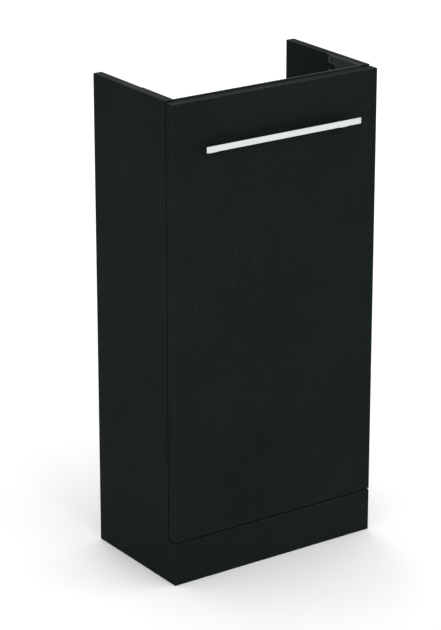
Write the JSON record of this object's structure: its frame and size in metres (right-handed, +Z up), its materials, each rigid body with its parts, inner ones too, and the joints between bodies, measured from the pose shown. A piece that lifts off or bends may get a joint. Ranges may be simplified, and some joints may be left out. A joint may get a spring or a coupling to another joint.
{
  "type": "wash-stand cabinet",
  "caption": "Slim floor-standing cloakroom wash-stand cabinet with a full-width hinged door, metal lip pull, plinth, inner shelf and an open top that a basin sits on.",
  "frame": {"origin": "on the floor, half way across the cabinet and half way between the front of the pull and the back edges of the side panels", "axes": "+X to the right as the door is faced, +Y to the back, towards the wall, +Z up"},
  "size_m": [0.4, 0.2516, 0.82],
  "materials": {
    "board": "matt foil-faced board",
    "pull_metal": "satin anodised",
    "strap_steel": "satin powder coat",
    "black_screw": "blackened",
    "hinge_steel": "nickel plated",
    "zinc_screw": "zinc plated",
    "cam_zinc": "die-cast zinc",
    "dowel_wood": "plain beech",
    "bumper_plastic": "clear soft pad"
  },
  "bodies": {
    "carcass": {"left_side_panel": "board", "right_side_panel": "board", "plinth_board": "board", "bottom_panel": "board", "upper_back_rail": "board", "lower_back_rail": "board", "front_rail": "strap_steel", "front_rail_screws": "black_screw", "upper_hinge_arm": "hinge_steel", "lower_hinge_arm": "hinge_steel", "upper_hinge_plate": "hinge_steel", "lower_hinge_plate": "hinge_steel", "hinge_clamp_screws": "zinc_screw", "hinge_plate_screws": "zinc_screw", "cam_bolts": "zinc_screw", "shelf_pins": "zinc_screw", "cam_locks": "cam_zinc", "board_dowels": "dowel_wood", "plinth_dowels": "dowel_wood"},
    "door": {"door_panel": "board", "door_handle": "pull_metal", "handle_screws": "zinc_screw", "door_bumpers": "bumper_plastic", "upper_hinge_cup": "hinge_steel", "lower_hinge_cup": "hinge_steel", "hinge_cup_screws": "zinc_screw", "hinge_pins": "hinge_steel"},
    "shelf_board": {"shelf": "board"}
  },
  "joints": [
    {"name": "door_hinge", "type": "hinge", "parent": "carcass", "child": "door", "pos_m": [0.1928, -0.0955, 0.447], "axis": [0, 0, 1], "range_deg": [0, 95]},
    {"name": "shelf_lift", "type": "slide", "parent": "carcass", "child": "shelf_board", "axis": [0, 0, 1], "range_m": [0, 0.03]}
  ]
}
